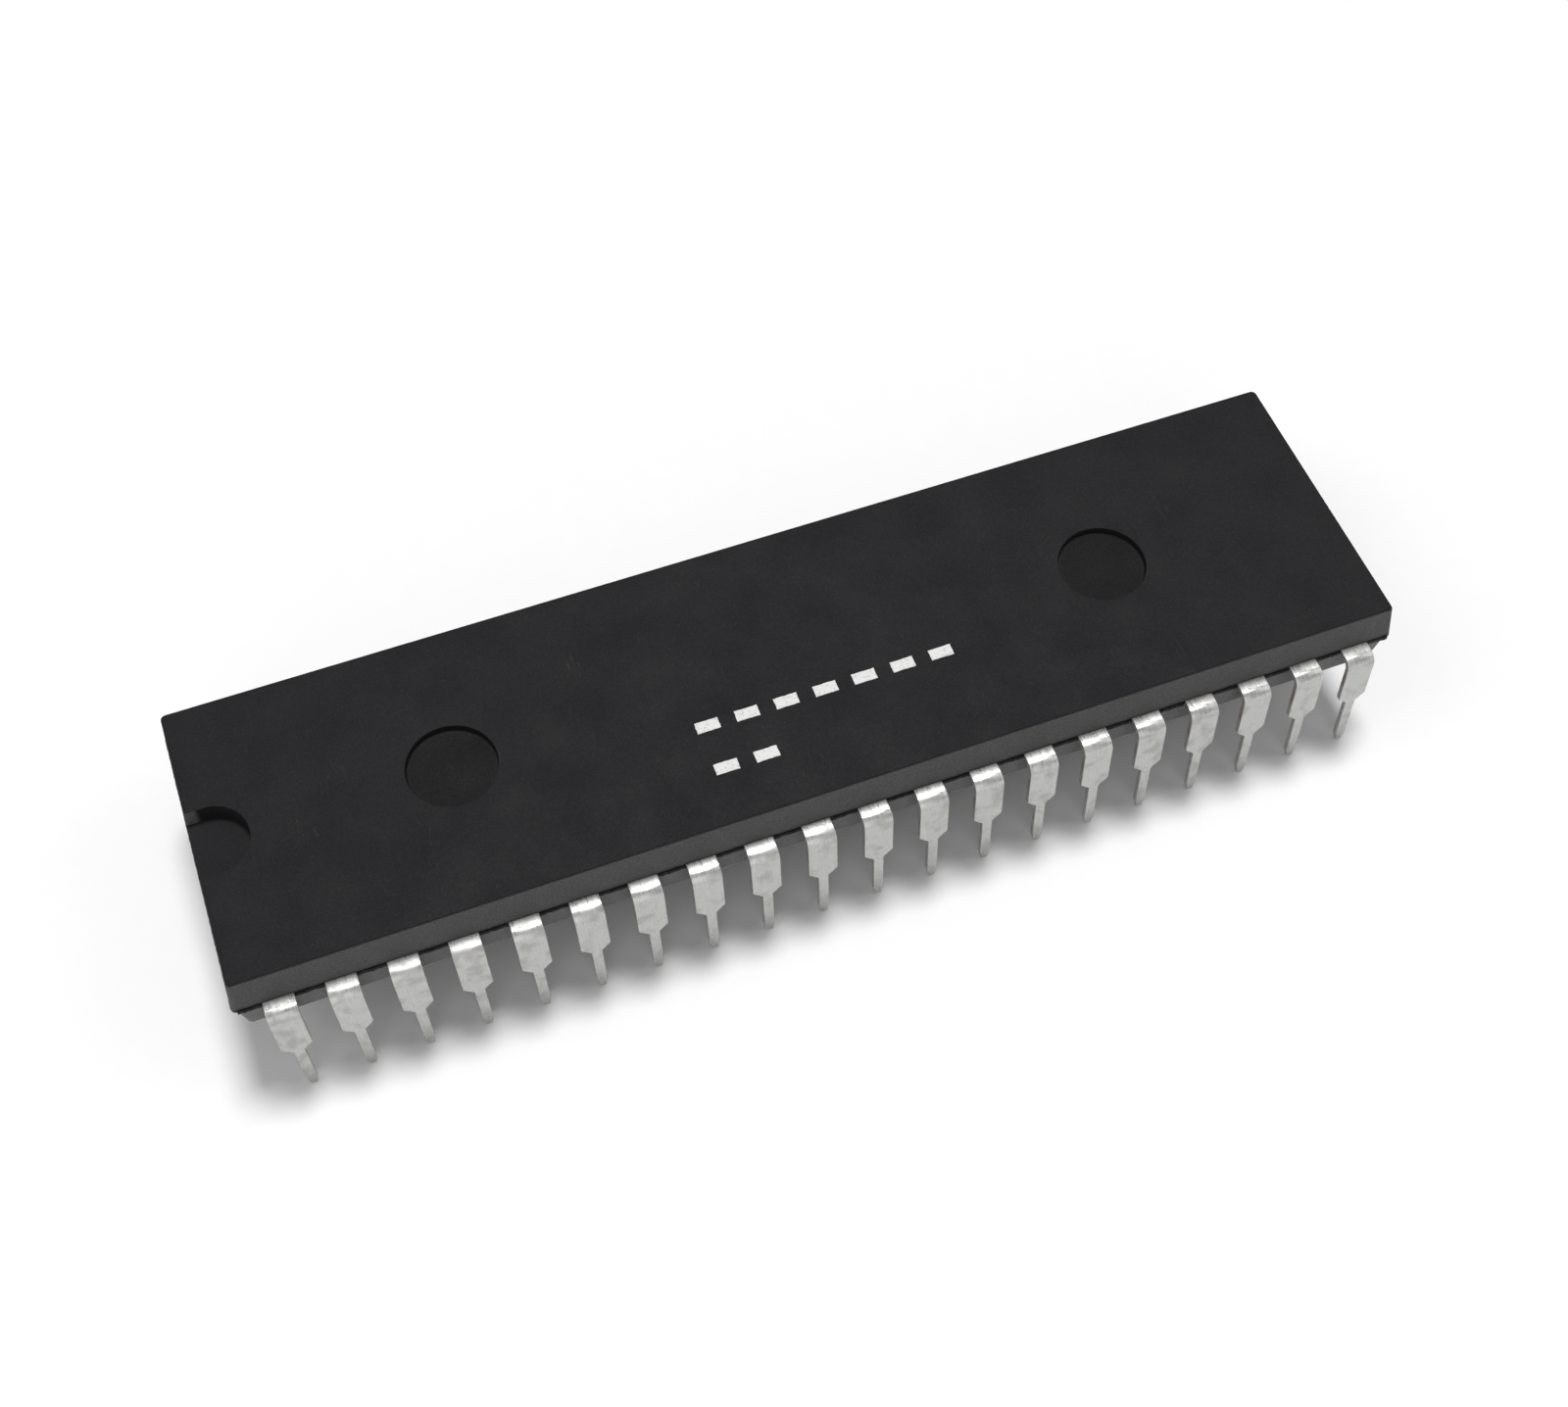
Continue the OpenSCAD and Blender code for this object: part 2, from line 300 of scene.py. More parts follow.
# %% Rings of the body
draft_slope = math.tan(math.radians(7))
mould_step = 0.08 * MM
edge_r = 0.13 * MM
corner_r = 0.22 * MM
lip_r = 0.02 * MM
corner_steps = 5
edge_steps = 4


def rounded_ring(inset, z):
    """A rectangle with round corners, corner by corner, set in from the parting line."""
    points = []
    for corner, (sign_x, sign_y) in enumerate([(1, 1), (-1, 1), (-1, -1), (1, -1)]):
        centre_x = sign_x * (half_length - inset - corner_r)
        centre_y = sign_y * (half_width - inset - corner_r)
        for step in range(corner_steps + 1):
            angle = math.radians(90) * (corner + step / corner_steps)
            x = centre_x + corner_r * math.cos(angle)
            y = centre_y + corner_r * math.sin(angle)
            points.append((x, y, z))
    return points


def body_rings():
    """Inset and height of each ring, from the underside up to the top."""
    rings = []
    wall_top = top_z - edge_r
    wall_foot = under_z + edge_r
    foot_inset = (part_z - wall_foot) * draft_slope + mould_step
    for step in range(edge_steps, -1, -1):
        turn = math.radians(90) * step / edge_steps
        inset = foot_inset + edge_r * (1 - math.cos(turn))
        rings.append((inset, wall_foot - edge_r * math.sin(turn)))
    rings += [(mould_step + lip_r, part_z - lip_r / 2), (mould_step, part_z)]
    rings += [(lip_r / 3, part_z), (0, part_z + lip_r)]
    top_inset = (wall_top - part_z) * draft_slope
    for step in range(edge_steps + 1):
        turn = math.radians(90) * step / edge_steps
        inset = top_inset + edge_r * (1 - math.cos(turn))
        rings.append((inset, wall_top + edge_r * math.sin(turn)))
    return rings


print("rings:", len(body_rings()))


# %% Join the rings
def mesh_object(name, maker):
    """Let the maker fill an empty mesh, and put the result in the scene under this name."""
    mesh = bpy.data.meshes.new(name)
    made = bmesh.new()
    maker(made)
    bmesh.ops.recalc_face_normals(made, faces=made.faces)
    made.to_mesh(mesh)
    made.free()
    piece = bpy.data.objects.new(name, mesh)
    bpy.context.scene.collection.objects.link(piece)
    return piece


def stack_rings(made):
    """Join each ring to the next with quads, and close both ends."""
    loops = [[made.verts.new(p) for p in rounded_ring(*ring)] for ring in body_rings()]
    count = len(loops[0])
    for lower, upper in zip(loops, loops[1:]):
        for k in range(count):
            m = (k + 1) % count
            made.faces.new((lower[k], lower[m], upper[m], upper[k]))
    made.faces.new(loops[-1])
    made.faces.new(reversed(loops[0]))


body = mesh_object("moulded_body", stack_rings)
print("faces:", len(body.data.polygons))

# %% [markdown]
# ## Notch and ejector marks
#
# The notch tells which end pin one is at, and the round marks are where the mould's ejector
# pins pushed the part out. A dark disc on the top would look right only from straight above.
# These are true pockets with walls that catch light, so booleans cut them. The cutters are
# short drums with slightly leaning walls.

# %% Sizes of the pockets and one drum
notch_r = 1.5 * MM
notch_reach = 2.3 * MM
notch_depth = 0.8 * MM
mark_r = 1.95 * MM
mark_depth = 0.3 * MM
mark_x = 14.85 * MM
top_end_x = half_length - (top_z - part_z) * draft_slope
wall_lean = 0.12
clear = 0.4 * MM
past_end = 1 * MM


def drum(made, outline, z_mouth, z_floor):
    """A closed pocket shape, wide at the mouth and leaning in towards the floor."""
    depth = abs(z_mouth - z_floor)
    mouth = [made.verts.new((x + nx * wall_lean * depth, y + ny * wall_lean * depth, z_mouth))
             for x, y, nx, ny in outline]
    floor_loop = [made.verts.new((x, y, z_floor)) for x, y, nx, ny in outline]
    count = len(outline)
    for k in range(count):
        m = (k + 1) % count
        made.faces.new((mouth[k], mouth[m], floor_loop[m], floor_loop[k]))
    made.faces.new(mouth)
    made.faces.new(reversed(floor_loop))


print("marks", round(2 * mark_r / MM, 1), "mm across,", round(mark_depth / MM, 1), "mm deep")


# %% Outlines of the pockets
def arc_points(centre_x, radius, angles):
    """Points on an arc, each with the direction that leads away from its middle."""
    ways = [(math.cos(a), math.sin(a)) for a in angles]
    return [(centre_x + radius * nx, radius * ny, nx, ny) for nx, ny in ways]


def round_outline(centre_x, radius, steps=72):
    """A full circle."""
    turns = [math.radians(360) * k / steps for k in range(steps)]
    return arc_points(centre_x, radius, turns)


def notch_outline(steps=36):
    """A half circle with two straight sides that run out past the end of the body."""
    centre_x = -top_end_x + notch_reach - notch_r
    turns = [math.radians(-90 + 180 * k / steps) for k in range(steps + 1)]
    outside = -half_length - past_end
    mouth = [(outside, notch_r, 0, 1), (outside, -notch_r, 0, -1)]
    return arc_points(centre_x, notch_r, turns) + mouth


def all_cutters(made):
    """The notch, and the two marks on the top and again on the underside."""
    drum(made, notch_outline(), top_z + clear, top_z - notch_depth)
    foot_r = mark_r - wall_lean * mark_depth
    for x in (-mark_x, mark_x):
        drum(made, round_outline(x, foot_r), top_z + clear, top_z - mark_depth)
        drum(made, round_outline(x, foot_r), under_z - clear, under_z + mark_depth)


print("notch", round(notch_reach / MM, 1), "mm deep into the end")


# %% Cut the pockets
def apply_modifiers(piece):
    """Bake the modifiers of a piece into its mesh, first to last."""
    with bpy.context.temp_override(object=piece, active_object=piece, selected_objects=[piece]):
        for modifier in list(piece.modifiers):
            bpy.ops.object.modifier_apply(modifier=modifier.name)


cutter = mesh_object("cutter", all_cutters)
cut = body.modifiers.new("pockets", "BOOLEAN")
cut.operation = "DIFFERENCE"
cut.solver = "EXACT"
cut.object = cutter
apply_modifiers(body)
bpy.data.objects.remove(cutter)
print("faces after the cuts:", len(body.data.polygons))

# %% [markdown]
# ## Soft rims
#
# No mould leaves a knife edge, but the booleans just did. The rims could be rounded by hand,
# loop by loop. A bevel that works only on steep edges is quicker: it breaks the rims of the
# pockets and leaves the gentle rings of the body alone. Weighted normals then let the narrow
# rounded faces shade smoothly while the wide ones stay flat.

# %% Break the rims
rim_round = 0.035 * MM
rim = body.modifiers.new("rims", "BEVEL")
rim.width = rim_round
rim.segments = 3
rim.limit_method = "ANGLE"
rim.angle_limit = math.radians(40)
rim.use_clamp_overlap = True
apply_modifiers(body)
for face in body.data.polygons:
    face.use_smooth = True
flat_faces = body.modifiers.new("flat faces stay flat", "WEIGHTED_NORMAL")
flat_faces.weight = 100
flat_faces.keep_sharp = False
apply_modifiers(body)
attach(body, "root")
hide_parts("body")
print("faces with broken rims:", len(body.data.polygons))

# %% [markdown]
# ## Resin flash
#
# Liquid resin creeps between the leads until the bar that joins them stops it. The press tool
# trims this web away and leaves a ragged lip along the parting line, and a thinner one runs
# round the two ends. A noise texture cannot give it an outline, so each run is a real strip:
# a long row of five-sided sections whose reach changes at random from one to the next.

# %% One run of flash
flash = random.Random(40)
shoulder_w = 1.3 * MM
section_gap = 0.12 * MM
lip_root = 0.2 * MM
side_reach = 0.09 * MM
end_reach, end_t = 0.03 * MM, 0.05 * MM
section_corners = 5


def flash_run(made, start, end, outwards, reach, thickness):
    """A ragged strip from start to end on the parting line, standing out from the wall."""
    along = end - start
    count = max(4, int(along.length / section_gap))
    sections = []
    for k in range(count + 1):
        at = start + along * (k / count)
        out = reach * flash.uniform(0.45, 1.0)
        high = thickness / 2 * flash.uniform(0.75, 1.0)
        tip = [(0.7 * out, -high), (out, 0), (0.7 * out, high)]
        profile = [(-lip_root, -high)] + tip + [(-lip_root, high)]
        places = [at + outwards * o + Vector((0, 0, z)) for o, z in profile]
        sections.append([made.verts.new(place) for place in places])
    for one, two in zip(sections, sections[1:]):
        for k in range(section_corners):
            m = (k + 1) % section_corners
            made.faces.new((one[k], one[m], two[m], two[k]))
    made.faces.new(sections[0])
    made.faces.new(reversed(sections[-1]))


print("flash stands out up to", round(side_reach / MM, 2), "mm")


# %% Flash round the body
def all_flash(made):
    """Runs between the leads on both long sides, and one run across each end."""
    first_lead = -pitch * (row_leads - 1) / 2
    body_end = half_length - corner_r
    for side in (-1, 1):
        wall_y = side * half_width
        outwards = Vector((0, side, 0))
        edges = [-body_end]
        for n in range(row_leads):
            centre = first_lead + n * pitch
            edges += [centre - shoulder_w / 2, centre + shoulder_w / 2]
        edges.append(body_end)
        for left, right in zip(edges[0::2], edges[1::2]):
            start, end = Vector((left, wall_y, part_z)), Vector((right, wall_y, part_z))
            flash_run(made, start, end, outwards, side_reach, sheet_t)
        wall_x = side * half_length
        wall_end = half_width - corner_r
        start, end = Vector((wall_x, -wall_end, part_z)), Vector((wall_x, wall_end, part_z))
        flash_run(made, start, end, Vector((side, 0, 0)), end_reach, end_t)


resin_flash = mesh_object("resin_flash", all_flash)
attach(resin_flash, "root")
print("flash faces:", len(resin_flash.data.polygons))

# %% [markdown]
# ## Gate scar
#
# Resin entered the mould through a narrow gate at the end away from the notch. When the
# runner was snapped off there, it left a small rough stump on the lower half, to one side of
# the tie bar. A bump in the finish could hint at it, but the wall would still look flat from
# the side. So it is a grid of points pushed out by a random amount, most in its middle and
# nothing at its rim, and it grows out of the wall like a real break.

# %% Stump of the gate
gate = random.Random(11)
gate_w, gate_h, gate_out = 2.2 * MM, 0.60 * MM, 0.16 * MM
gate_y, gate_drop = 3.1 * MM, 0.40 * MM
gate_sunk, gate_root = 0.02 * MM, 0.3 * MM
gate_columns, gate_rows = 26, 8


def gate_stump(made):
    """A rough grid on the wall, closed by a skirt and a back that are buried in the body."""
    top_of_gate = part_z - gate_drop
    grid = []
    for row in range(gate_rows + 1):
        down = gate_h * row / gate_rows
        wall_x = half_length - mould_step - (part_z - top_of_gate + down) * draft_slope
        line = []
        for column in range(gate_columns + 1):
            across = 2 * column / gate_columns - 1
            upright = 2 * row / gate_rows - 1
            swell = (1 - across ** 6) * (1 - upright ** 4)
            out = gate_out * swell * gate.uniform(0.65, 1.0) - gate_sunk
            y = gate_y + across * gate_w / 2
            line.append(made.verts.new((wall_x + out, y, top_of_gate - down)))
        grid.append(line)
    for upper, lower in zip(grid, grid[1:]):
        for k in range(gate_columns):
            made.faces.new((upper[k], upper[k + 1], lower[k + 1], lower[k]))
    right_side = [line[-1] for line in grid[1:]]
    left_side = [line[0] for line in grid[-2:0:-1]]
    rim = grid[0] + right_side + grid[-1][-2::-1] + left_side
    buried = [made.verts.new(v.co - Vector((gate_root, 0, 0))) for v in rim]
    for k in range(len(rim)):
        m = (k + 1) % len(rim)
        made.faces.new((rim[k], rim[m], buried[m], buried[k]))
    made.faces.new(buried)


gate_scar = mesh_object("gate_scar", gate_stump)
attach(gate_scar, "root")
print("gate scar faces:", len(gate_scar.data.polygons))

# %% [markdown]
# ## Moulding compound
#
# The compound is epoxy filled with ground silica and a little soot. Close up it is nearly
# black with a fine matt grain from the spark-eroded mould, and the outer walls keep a coarser
# texture than the top. They are painted greyer than the top, partly for that texture and partly
# as painted light from the pale floor. One even black would look like a toy, and a painted mask
# for the walls would have to be redone after each change of shape. So the finish works out from
# the place and the slope of a point whether it lies on the top, on a wall or in a mark.

# %% Where on the body a point lies
def object_axes(tree):
    """How far a point lies from the middle along and across the body, and its height."""
    parts = add_node(tree, "ShaderNodeSeparateXYZ")
    tree.links.new(object_place(tree), parts.inputs["Vector"])
    return [combine(tree, parts.outputs[0], 0.0, "ABSOLUTE"),
            combine(tree, parts.outputs[1], 0.0, "ABSOLUTE"), parts.outputs[2]]


def facing(tree, axis):
    """One where a face looks straight along the axis, and none where it runs beside it."""
    surface = add_node(tree, "ShaderNodeNewGeometry")
    parts = add_node(tree, "ShaderNodeSeparateXYZ")
    tree.links.new(surface.outputs["Normal"], parts.inputs["Vector"])
    return combine(tree, parts.outputs[axis], 0.0, "ABSOLUTE")


def outer_wall(tree, away_x, away_y):
    """One on the drafted walls and at the mouth of the notch, and none everywhere else."""
    rim_start, rim_end = 0.8 * MM, 0.6 * MM
    steep, level = 0.35, 0.85
    at_side = remap(tree, away_y, half_width - rim_start, half_width - rim_end)
    at_end = remap(tree, away_x, half_length - rim_start, half_length - rim_end)
    at_rim = combine(tree, at_side, at_end, "MAXIMUM")
    return combine(tree, at_rim, remap(tree, facing(tree, "Z"), level, steep))


def turning_rings(tree, away_x, away_y):
    """Fine rings on the floor of each round mark, as the end of a lathe-cut pin leaves them."""
    ring_gap = 0.11 * MM
    along = combine(tree, away_x, mark_x, "SUBTRACT")
    squares = combine(tree, combine(tree, along, along), combine(tree, away_y, away_y), "ADD")
    radius = combine(tree, squares, 0.5, "POWER")
    ring = combine(tree, combine(tree, radius, 2 * math.pi / ring_gap), 0.0, "SINE")
    inside = remap(tree, radius, mark_r - 0.15 * MM, mark_r - 0.25 * MM)
    return combine(tree, ring, inside)


print("places on the body can be told apart")

# %% [markdown]
# ## Tones of the compound
#
# Handling leaves hairline scratches on the top. The floors of the round marks are painted
# darker, as painted shade in those recesses. The walls are sandy and grey, and paler on the
# lower half as painted light from the floor, with a painted shadow as a dark, uneven line where
# the two halves of the mould met. Each tone is a helper of its own, so that it can be changed
# without touching the others.

# %% Scratches
def scratches(tree, place):
    """Thin bright lines: stretched noise, kept only where it crosses its middle value."""
    drawn_out = object_place(tree, (1, 0.06, 1))
    band = combine(tree, noise(tree, drawn_out, 2600, 1), 0.5, "SUBTRACT")
    line = remap(tree, combine(tree, band, 0.0, "ABSOLUTE"), 0.0, 0.004, 1.0, 0.0)
    patch = remap(tree, noise(tree, place, 260, 1), 0.60, 0.68)
    return combine(tree, line, patch)


print("scratches can be drawn")


# %% Tones of the top and the walls
soot_black, faint_black = (0.0062, 0.0054, 0.0068), (0.0086, 0.0076, 0.0092)
# The third and fourth colours are painted shade: on the floors of the round marks and along the
# parting line.
mark_floor_shade, seam_painted_shadow = (0.0042, 0.0036, 0.0046), (0.009, 0.009, 0.009)


def top_tone_and_mark_shade(tree, away_x, height, cloud):
    """Nearly black, slightly cloudy, with painted shade on the floors of the round marks."""
    floor_start, floor_end = top_z - 0.1 * MM, top_z - 0.2 * MM
    below_top = remap(tree, height, floor_start, floor_end)
    near_marks = remap(tree, away_x, mark_x + 4 * MM, mark_x + 3 * MM)
    # Painted shade: the floors of the round marks are darkened, as if shaded by their rims.
    shaded_mark_floors = combine(tree, below_top, near_marks)
    cloudy = blend_colours(tree, cloud, soot_black, faint_black)
    return blend_colours(tree, shaded_mark_floors, cloudy, mark_floor_shade)


def wall_grey_and_painted_light(tree, place, height, sand):
    """Sandy grey with painted floor light, paler on the lower half, and a painted seam shadow."""
    line_end, line_fade, line_wander = 0.18 * MM, 0.34 * MM, 0.16 * MM
    painted_bounce_mask = remap(tree, height, part_z, part_z - 0.1 * MM)
    smear = noise(tree, place, 3200, 3, 0.6)
    off_seam = combine(tree, combine(tree, height, part_z, "SUBTRACT"), 0.0, "ABSOLUTE")
    ragged = combine(tree, off_seam, combine(tree, smear, line_wander), "ADD")
    # Painted shadow: a ragged dark band along the parting line, as if cast by the mould step.
    seam_shadow = remap(tree, ragged, line_fade, line_end)
    # Painted light: the walls are painted greyer than the top, partly for their coarser texture and
    # partly as light from the floor, and the lower half, which faces the floor, is paler still.
    upper_grey_and_painted_light = blend_colours(tree, sand, (0.050, 0.050, 0.050), (0.112, 0.111, 0.111))
    lower_grey_with_painted_bounce = blend_colours(tree, sand, (0.135, 0.135, 0.135), (0.265, 0.265, 0.263))
    grey = blend_colours(tree, painted_bounce_mask, upper_grey_and_painted_light, lower_grey_with_painted_bounce)
    grey = blend_colours(tree, combine(tree, smear, 0.35), grey, (0.045, 0.045, 0.045))
    return blend_colours(tree, seam_shadow, grey, seam_painted_shadow)


print("tones for top, marks, walls and seam")

# %% [markdown]
# ## Relief of the compound
#
# Tone alone leaves a highlight smooth, and a smooth highlight gives a computer picture away.
# Bumps at several sizes break it up, each laid on the one below: soft waves from shrinkage,
# coarse sand on the walls, mould grain, turning rings in the marks and the scratches. They are
# a few thousandths of a millimetre deep, too shallow to be worth any real mesh.

# %% Moulding compound finish
def moulding_compound():
    """The tones, grains and bumps of the body joined in one finish."""
    material, tree, shader = new_finish("moulding compound", (0.008, 0.007, 0.0085), 0.6)
    shader.inputs["Specular IOR Level"].default_value = 0.17
    place = object_place(tree)
    away_x, away_y, height = object_axes(tree)
    wall = outer_wall(tree, away_x, away_y)
    grain = noise(tree, place, 9000, 3, 0.6)
    cloud = noise(tree, place, 420, 3)
    sand = remap(tree, noise(tree, place, 15000, 3, 0.7), 0.30, 0.70)
    speck = remap(tree, noise(tree, place, 21000, 1), 0.62, 0.72)
    scratched = scratches(tree, place)
    top = top_tone_and_mark_shade(tree, away_x, height, cloud)
    tone = blend_colours(tree, wall, top, wall_grey_and_painted_light(tree, place, height, sand))
    tone = blend_colours(tree, combine(tree, speck, 0.12), tone, (0.10, 0.10, 0.10))
    tone = blend_colours(tree, combine(tree, scratched, 0.25), tone, (0.10, 0.10, 0.10))
    tree.links.new(tone, shader.inputs["Base Color"])
    rough = remap(tree, combine(tree, grain, cloud, "ADD"), 0.7, 1.3, 0.54, 0.72)
    tree.links.new(rough, shader.inputs["Roughness"])
    waves = bump(tree, noise(tree, place, 700, 2), 0.006 * MM)
    coarse = bump(tree, combine(tree, sand, wall), 0.009 * MM, waves)
    grains = bump(tree, grain, 0.006 * MM, coarse)
    rings = bump(tree, turning_rings(tree, away_x, away_y), 0.004 * MM, grains)
    tree.links.new(bump(tree, scratched, 0.002 * MM, rings), shader.inputs["Normal"])
    return material


compound = moulding_compound()
for piece in (body, resin_flash, nodes["body"]):
    give(piece, compound)
print("compound on", body.name, "and", resin_flash.name)

# %% [markdown]
# ## Broken resin
#
# Where the gate snapped, the resin was torn and not moulded, so the filler grains stand open.
# Such a break is paler and duller than the wall round it, and sparkles a little. The wall's
# finish could be lightened there, but its grain is too even for a break. So the stump has a
# small finish of its own, with a steep bump from coarse noise and a pale speckle.

# %% Finish of the break
def broken_resin():
    """Pale torn resin with open grains of filler."""
    material, tree, shader = new_finish("broken resin", (0.09, 0.09, 0.09), 0.8)
    place = object_place(tree)
    torn = noise(tree, place, 7000, 4, 0.7)
    filler = remap(tree, noise(tree, place, 18000, 2), 0.60, 0.68)
    tone = blend_colours(tree, torn, (0.10, 0.10, 0.10), (0.27, 0.27, 0.265))
    tone = blend_colours(tree, combine(tree, filler, 0.5), tone, (0.40, 0.40, 0.39))
    tree.links.new(tone, shader.inputs["Base Color"])
    tree.links.new(bump(tree, torn, 0.02 * MM), shader.inputs["Normal"])
    return material


give(gate_scar, broken_resin())
print("break finished")

# %% [markdown]
# ## Printed bars
#
# White ink is printed on such a top with a soft pad. This part is a generic one, so its print
# is only two rows of plain bars, in the place and the weight that a print would have. Ink laid
# by a pad has a thin rim and an edge that wanders slightly, so each bar is a low plate of its
# own with sloping sides, and not a patch of colour.

# %% Bars of ink
ink = random.Random(7)
bar_w, bar_h = 1.05 * MM, 0.55 * MM
bar_pitch = 1.77 * MM
ink_t = 0.012 * MM
ink_rim = 0.025 * MM
edge_wander = 0.012 * MM
side_steps = 8
# Each row: how many bars, the middle of the first one, and how far to the front the row lies.
rows = ((7, -4.25 * MM, -1.85 * MM), (2, -4.15 * MM, -4.0 * MM))


def printed_bar(made, centre_x, centre_y):
    """A low plate with a wandering edge: its foot in the top face, its crown just above it."""
    corners = [(-1, -1), (1, -1), (1, 1), (-1, 1)]
    foot, crown = [], []
    for (ax, ay), (bx, by) in zip(corners, corners[1:] + corners[:1]):
        for k in range(side_steps):
            share = k / side_steps
            x = (ax + (bx - ax) * share) * bar_w / 2 + ink.uniform(-edge_wander, edge_wander)
            y = (ay + (by - ay) * share) * bar_h / 2 + ink.uniform(-edge_wander, edge_wander)
            kept = 1 - ink_rim / math.hypot(x, y)
            foot.append(made.verts.new((centre_x + x, centre_y + y, top_z - ink_t / 2)))
            crown.append(made.verts.new((centre_x + x * kept, centre_y + y * kept, top_z + ink_t)))
    for k in range(len(foot)):
        m = (k + 1) % len(foot)
        made.faces.new((foot[k], foot[m], crown[m], crown[k]))
    made.faces.new(crown)
    made.faces.new(reversed(foot))


def print_rows(made):
    """All the bars, row by row."""
    for count, start_x, row_y in rows:
        for k in range(count):
            printed_bar(made, start_x + k * bar_pitch, row_y)


printed_bars = mesh_object("printed_bars", print_rows)
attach(printed_bars, "root")
print("faces of ink:", len(printed_bars.data.polygons))


# %% Finish of the ink
def pad_ink():
    """White ink that is thin in patches and has a few pinholes."""
    material, tree, shader = new_finish("pad ink", (0.60, 0.60, 0.59), 0.55)
    place = object_place(tree)
    thin = remap(tree, noise(tree, place, 5200, 3, 0.7), 0.54, 0.72)
    pinhole = remap(tree, noise(tree, place, 16000, 2), 0.64, 0.70)
    tone = blend_colours(tree, combine(tree, thin, 0.40), (0.68, 0.68, 0.67), (0.26, 0.26, 0.26))
    tone = blend_colours(tree, combine(tree, pinhole, 0.8), tone, (0.03, 0.03, 0.03))
    tree.links.new(tone, shader.inputs["Base Color"])
    tree.links.new(remap(tree, thin, 0, 1, 0.48, 0.66), shader.inputs["Roughness"])
    tree.links.new(bump(tree, thin, -0.003 * MM), shader.inputs["Normal"])
    return material


give(printed_bars, pad_ink())
print("ink on", len(rows), "rows")

# %% [markdown]
# ## Soft edges on the leads
#
# Each lead is a strip punched from sheet and bent over a die, so its edges are never knife
# sharp. The strips could be modelled again with round edges, but modifiers on the strips of
# the frame keep their shape for certain. A weld joins the split corners. A bevel goes wrong
# where the edges of triangles meet its corners, so a planar decimate first merges each flat
# face into one. The bevel then rounds every edge by a few hundredths of a millimetre, and
# draws the thin highlights that make metal read as metal.

# %% Round the edges of the strips
lead_names = [f"pin_{n:02d}" for n in range(1, 2 * row_leads + 1)]
strip_round = 0.028 * MM


def soften(piece):
    """Join, flatten and bevel a strip by modifiers, so that its own mesh stays as it is."""
    weld = piece.modifiers.new("weld", "WELD")
    weld.merge_threshold = 0.0005 * MM
    merge = piece.modifiers.new("whole flat faces", "DECIMATE")
    merge.decimate_type = "DISSOLVE"
    merge.angle_limit = math.radians(1)
    edge = piece.modifiers.new("soft edges", "BEVEL")
    edge.width = strip_round
    edge.segments = 2
    edge.limit_method = "ANGLE"
    edge.angle_limit = math.radians(30)
    for face in piece.data.polygons:
        face.use_smooth = True
    flat = piece.modifiers.new("flat faces stay flat", "WEIGHTED_NORMAL")
    flat.weight = 100


for name in lead_names:
    soften(nodes[name])
print("leads softened:", len(lead_names))

# %% [markdown]
# ## Tin plating
#
# The strips are copper alloy with a bright tin finish that has been handled: silvery, a touch
# warm, streaked along the strip by the bending tool and duller where flux or resin dried. The
# upright faces are painted darker than the shoulders, as painted shade where they turn away
# from the main light. A plain shiny metal would be quicker, but tin that has been handled is
# never so clean, and an old matt plating also scatters light like a pale paint, so the finish is
# not fully metallic. Each lead gets its own share of dullness from a random number that Blender
# keeps for each object. The bar between the leads was cut away after plating, so the narrow side
# faces show a warm band of bare copper there, and the cut tips do too.

# %% Where the strips were cut
def bare_cut(tree):
    """One on the side faces where the bar was cut off, and at the very tips of the leads."""
    waver = combine(tree, noise(tree, object_place(tree), 4000, 2), 0.25 * MM)
    height = combine(tree, object_axes(tree)[2], waver, "SUBTRACT")
    bar_top, bar_foot = part_z - 0.75 * MM, part_z - 1.60 * MM
    below_top = remap(tree, height, bar_top, bar_top - 0.06 * MM)
    above_foot = remap(tree, height, bar_foot, bar_foot + 0.06 * MM)
    sideways = remap(tree, facing(tree, "X"), 0.85, 0.95)
    band = combine(tree, sideways, combine(tree, below_top, above_foot))
    tip = remap(tree, object_axes(tree)[2], 0.05 * MM, 0.03 * MM)
    return combine(tree, band, tip, "MAXIMUM")


print("cut faces can be found")


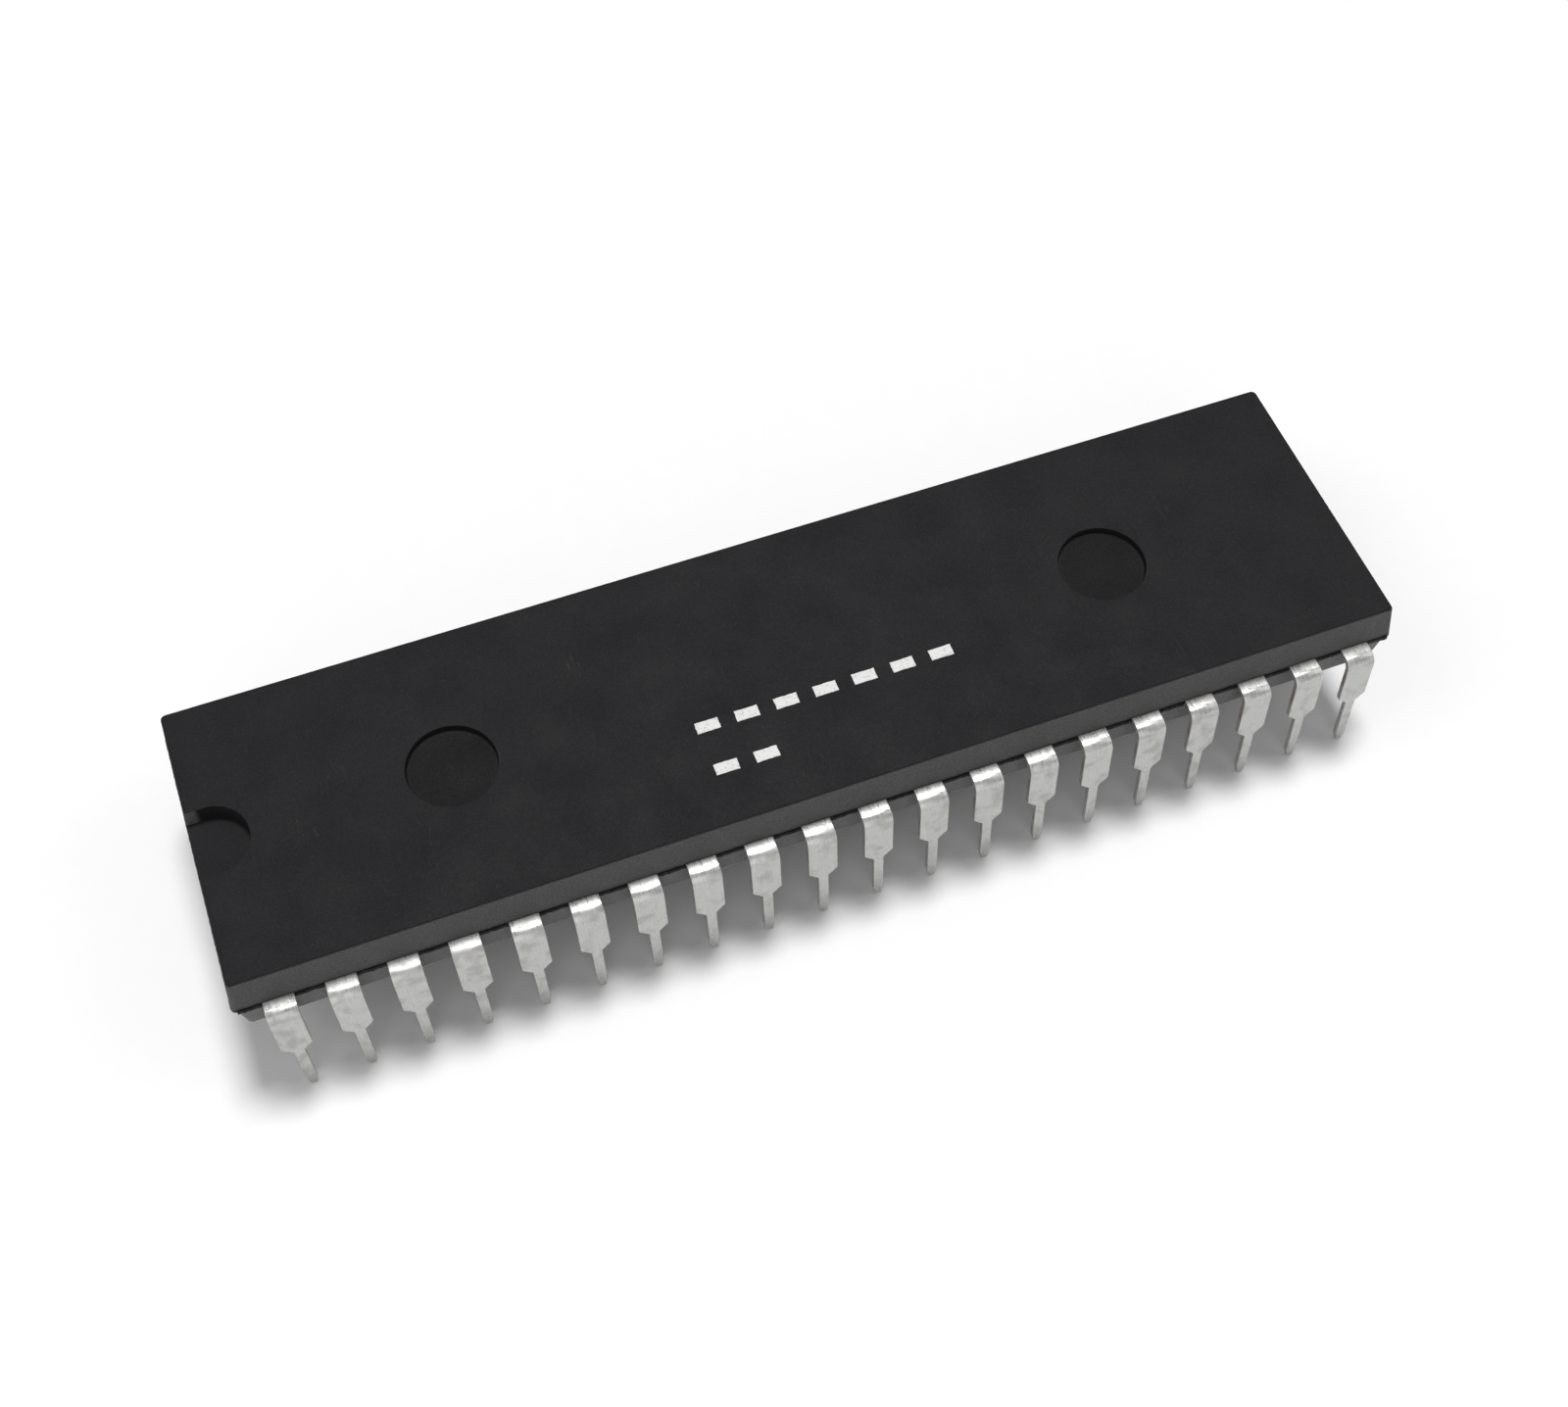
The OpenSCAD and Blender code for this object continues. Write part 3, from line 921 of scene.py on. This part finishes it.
# %% Tin finish
def tin_plating():
    """Streaked tin with dull stains and pits, painted shade on upright faces, bare copper where
    cut.
    """
    material, tree, shader = new_finish("tin plating", (0.66, 0.66, 0.645), 0.34, 0.72)
    place = object_place(tree)
    own = add_node(tree, "ShaderNodeObjectInfo").outputs["Random"]
    streak = noise(tree, object_place(tree, (1, 0.10, 0.10)), 9000, 3, 0.6)
    cloud = noise(tree, place, 1500, 3, 0.55)
    pit = remap(tree, noise(tree, place, 11000, 2), 0.66, 0.76)
    clean = blend_colours(tree, streak, (0.47, 0.47, 0.46), (0.80, 0.80, 0.78))
    dull = blend_colours(tree, cloud, (0.29, 0.28, 0.265), (0.53, 0.52, 0.50))
    stained = remap(tree, combine(tree, cloud, combine(tree, own, 0.12), "ADD"), 0.56, 0.74)
    tone = blend_colours(tree, combine(tree, stained, 0.65), clean, dull)
    tone = blend_colours(tree, combine(tree, pit, 0.30), tone, (0.30, 0.29, 0.27))
    # Painted shade: the upright faces are darkened because they turn away from the main light.
    upright = remap(tree, facing(tree, "Z"), 0.75, 0.35)
    tone = blend_colours(tree, combine(tree, upright, 0.45), tone, (0.31, 0.31, 0.30))
    copper = blend_colours(tree, cloud, (0.32, 0.23, 0.17), (0.52, 0.39, 0.30))
    tone = blend_colours(tree, combine(tree, bare_cut(tree), 0.75), tone, copper)
    tree.links.new(tone, shader.inputs["Base Color"])
    rough = remap(tree, combine(tree, streak, stained, "ADD"), 0.3, 1.4, 0.24, 0.55)
    tree.links.new(rough, shader.inputs["Roughness"])
    drawn = bump(tree, streak, 0.004 * MM)
    dented = combine(tree, cloud, combine(tree, pit, 0.5), "SUBTRACT")
    tree.links.new(bump(tree, dented, 0.005 * MM, drawn), shader.inputs["Normal"])
    return material


tin = tin_plating()
for name in lead_names:
    give(nodes[name], tin)
print("tin on", len(lead_names), "leads")

# %% [markdown]
# ## The pieces inside
#
# Nobody sees the paddle, the die and its wires once the epoxy has set, apart from the cropped
# end of a tie bar in each end wall. One grey for all would do for the picture. They still get
# honest finishes, because a cutaway or a learner may look inside. Rolled copper alloy and
# drawn gold are both a streaked metal, so one helper makes the two of them.

# %% Copper sheet, glue and gold
def plain_metal(name, colour, darker, roughness, scale):
    """Bare metal with fine streaks along the length of the piece."""
    material, tree, shader = new_finish(name, colour, roughness, 1.0)
    streak = noise(tree, object_place(tree, (0.15, 1, 1)), scale, 3)
    tree.links.new(blend_colours(tree, streak, darker, colour), shader.inputs["Base Color"])
    rough = remap(tree, streak, 0.3, 0.7, roughness - 0.08, roughness + 0.10)
    tree.links.new(rough, shader.inputs["Roughness"])
    tree.links.new(bump(tree, streak, 0.002 * MM), shader.inputs["Normal"])
    return material


def silver_glue():
    """Glue filled with flakes of silver, only half a metal."""
    material, tree, shader = new_finish("silver glue", (0.55, 0.55, 0.53), 0.5, 0.4)
    flake = noise(tree, object_place(tree), 30000, 2)
    tone = blend_colours(tree, flake, (0.40, 0.40, 0.39), (0.70, 0.70, 0.68))
    tree.links.new(tone, shader.inputs["Base Color"])
    tree.links.new(bump(tree, flake, 0.003 * MM), shader.inputs["Normal"])
    return material


print("metal and glue can be made")

# %% [markdown]
# ## The die
#
# A die is a chip of polished silicon covered with blocks of wiring, each block in fine rows.
# Modelling them would cost thousands of faces for a piece the size of a pinhead. A brick
# pattern with pale joints gives the blocks and the tracks between them, and stretched noise
# gives the rows.

# %% Die, and the inner pieces in their finishes
def circuit_silicon():
    """Blocks and rows of wiring on polished silicon."""
    material, tree, shader = new_finish("circuit silicon", (0.10, 0.12, 0.16), 0.2, 0.3)
    blocks = add_node(tree, "ShaderNodeTexBrick", Scale=900.0)
    blocks.inputs["Color1"].default_value = (0.07, 0.10, 0.16, 1)
    blocks.inputs["Color2"].default_value = (0.20, 0.16, 0.22, 1)
    blocks.inputs["Mortar"].default_value = (0.42, 0.40, 0.34, 1)
    blocks.inputs["Mortar Size"].default_value = 0.03
    tree.links.new(object_place(tree), blocks.inputs["Vector"])
    cells = noise(tree, object_place(tree, (1, 8, 1)), 9000, 2)
    wiring = blocks.outputs["Color"]
    tone = blend_colours(tree, combine(tree, cells, 0.4), wiring, (0.30, 0.34, 0.30))
    tree.links.new(tone, shader.inputs["Base Color"])
    tree.links.new(remap(tree, cells, 0.3, 0.7, 0.12, 0.30), shader.inputs["Roughness"])
    return material


copper_sheet = plain_metal("copper alloy sheet", (0.60, 0.41, 0.30), (0.42, 0.27, 0.19), 0.38, 6000)
drawn_gold = plain_metal("drawn gold", (0.95, 0.72, 0.30), (0.85, 0.60, 0.22), 0.25, 20000)
give(nodes["die_paddle"], copper_sheet)
give(nodes["die_attach"], silver_glue())
give(nodes["die"], circuit_silicon())
give(nodes["bond_wires"], drawn_gold)
print("inner pieces finished")
